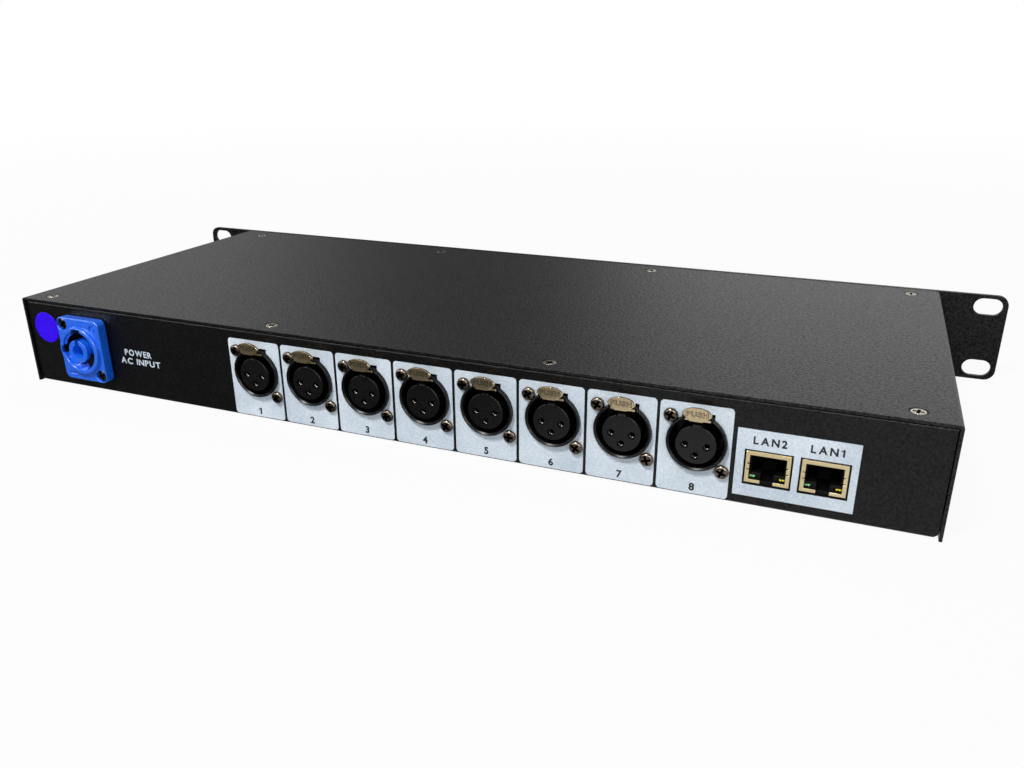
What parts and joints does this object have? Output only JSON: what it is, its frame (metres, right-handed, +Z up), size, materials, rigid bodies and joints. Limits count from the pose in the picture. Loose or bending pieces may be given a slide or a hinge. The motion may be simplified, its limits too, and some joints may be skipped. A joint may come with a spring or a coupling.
{
  "type": "art-net node",
  "caption": "Slim rack box that turns a lighting network into DMX lines, with slotted ears, sprung-tab XLR sockets, network jacks and a locking mains inlet at the rear.",
  "frame": {"origin": "bottom centre of the whole unit, on the surface that it stands on", "axes": "+X to the right seen from the front panel, +Y from the front panel to the connectors at the rear, +Z up"},
  "size_m": [0.4826, 0.1872, 0.0436],
  "materials": {
    "powder_coat": "fine textured matt black powder coat on sheet steel",
    "black_plastic": "moulded, satin",
    "insert_plastic": "moulded, matt",
    "blue_plastic": "moulded, satin blue",
    "nickel": "nickel plated",
    "tinplate": "bright plated sheet",
    "brass": "plain",
    "circuit_board": "glass fibre board with green solder mask",
    "zinc": "zinc plated",
    "clear_acrylic": "clear, smoked",
    "button_plastic": "moulded, satin",
    "green_lamp": "tinted, clear",
    "yellow_lamp": "tinted, clear",
    "red_lamp": "tinted, clear"
  },
  "bodies": {
    "chassis": {"chassis_tray": "powder_coat", "top_cover": "powder_coat", "front_panel": "powder_coat", "power_inlet_shell": "blue_plastic", "power_inlet_insert": "black_plastic", "power_contact_line": "brass", "power_contact_neutral": "brass", "power_contact_earth": "brass", "xlr_shell_1": "black_plastic", "xlr_shell_2": "black_plastic", "xlr_shell_3": "black_plastic", "xlr_shell_4": "black_plastic", "xlr_shell_5": "black_plastic", "xlr_shell_6": "black_plastic", "xlr_shell_7": "black_plastic", "xlr_shell_8": "black_plastic", "xlr_insert_1": "insert_plastic", "xlr_insert_2": "insert_plastic", "xlr_insert_3": "insert_plastic", "xlr_insert_4": "insert_plastic", "xlr_insert_5": "insert_plastic", "xlr_insert_6": "insert_plastic", "xlr_insert_7": "insert_plastic", "xlr_insert_8": "insert_plastic", "ethernet_shield_1": "tinplate", "ethernet_shield_2": "tinplate", "ethernet_housing_1": "black_plastic", "ethernet_housing_2": "black_plastic", "ethernet_lamp_green_1": "green_lamp", "ethernet_lamp_green_2": "green_lamp", "ethernet_lamp_yellow_1": "yellow_lamp", "ethernet_lamp_yellow_2": "yellow_lamp", "main_board": "circuit_board", "power_supply": "zinc", "control_board": "circuit_board", "display_module": "black_plastic", "display_window": "clear_acrylic", "indicator_lamp_1": "green_lamp", "indicator_lamp_2": "green_lamp", "indicator_lamp_3": "green_lamp", "indicator_lamp_4": "green_lamp", "indicator_lamp_5": "green_lamp", "indicator_lamp_6": "green_lamp", "indicator_lamp_7": "green_lamp", "indicator_lamp_8": "green_lamp", "power_lamp": "red_lamp"},
    "latch_1": {"xlr_latch_1": "nickel"},
    "latch_2": {"xlr_latch_2": "nickel"},
    "latch_3": {"xlr_latch_3": "nickel"},
    "latch_4": {"xlr_latch_4": "nickel"},
    "latch_5": {"xlr_latch_5": "nickel"},
    "latch_6": {"xlr_latch_6": "nickel"},
    "latch_7": {"xlr_latch_7": "nickel"},
    "latch_8": {"xlr_latch_8": "nickel"},
    "button_1": {"menu_button_1": "button_plastic"},
    "button_2": {"menu_button_2": "button_plastic"},
    "button_3": {"menu_button_3": "button_plastic"},
    "button_4": {"menu_button_4": "button_plastic"}
  },
  "joints": [
    {"name": "latch_1_push", "type": "slide", "parent": "chassis", "child": "latch_1", "axis": [0, -1, 0], "range_m": [0, 0.002], "stiffness_N_per_m": 1500},
    {"name": "latch_2_push", "type": "slide", "parent": "chassis", "child": "latch_2", "axis": [0, -1, 0], "range_m": [0, 0.002], "stiffness_N_per_m": 1500},
    {"name": "latch_3_push", "type": "slide", "parent": "chassis", "child": "latch_3", "axis": [0, -1, 0], "range_m": [0, 0.002], "stiffness_N_per_m": 1500},
    {"name": "latch_4_push", "type": "slide", "parent": "chassis", "child": "latch_4", "axis": [0, -1, 0], "range_m": [0, 0.002], "stiffness_N_per_m": 1500},
    {"name": "latch_5_push", "type": "slide", "parent": "chassis", "child": "latch_5", "axis": [0, -1, 0], "range_m": [0, 0.002], "stiffness_N_per_m": 1500},
    {"name": "latch_6_push", "type": "slide", "parent": "chassis", "child": "latch_6", "axis": [0, -1, 0], "range_m": [0, 0.002], "stiffness_N_per_m": 1500},
    {"name": "latch_7_push", "type": "slide", "parent": "chassis", "child": "latch_7", "axis": [0, -1, 0], "range_m": [0, 0.002], "stiffness_N_per_m": 1500},
    {"name": "latch_8_push", "type": "slide", "parent": "chassis", "child": "latch_8", "axis": [0, -1, 0], "range_m": [0, 0.002], "stiffness_N_per_m": 1500},
    {"name": "button_1_push", "type": "slide", "parent": "chassis", "child": "button_1", "axis": [0, 1, 0], "range_m": [0, 0.0006], "stiffness_N_per_m": 2000},
    {"name": "button_2_push", "type": "slide", "parent": "chassis", "child": "button_2", "axis": [0, 1, 0], "range_m": [0, 0.0006], "stiffness_N_per_m": 2000},
    {"name": "button_3_push", "type": "slide", "parent": "chassis", "child": "button_3", "axis": [0, 1, 0], "range_m": [0, 0.0006], "stiffness_N_per_m": 2000},
    {"name": "button_4_push", "type": "slide", "parent": "chassis", "child": "button_4", "axis": [0, 1, 0], "range_m": [0, 0.0006], "stiffness_N_per_m": 2000}
  ]
}
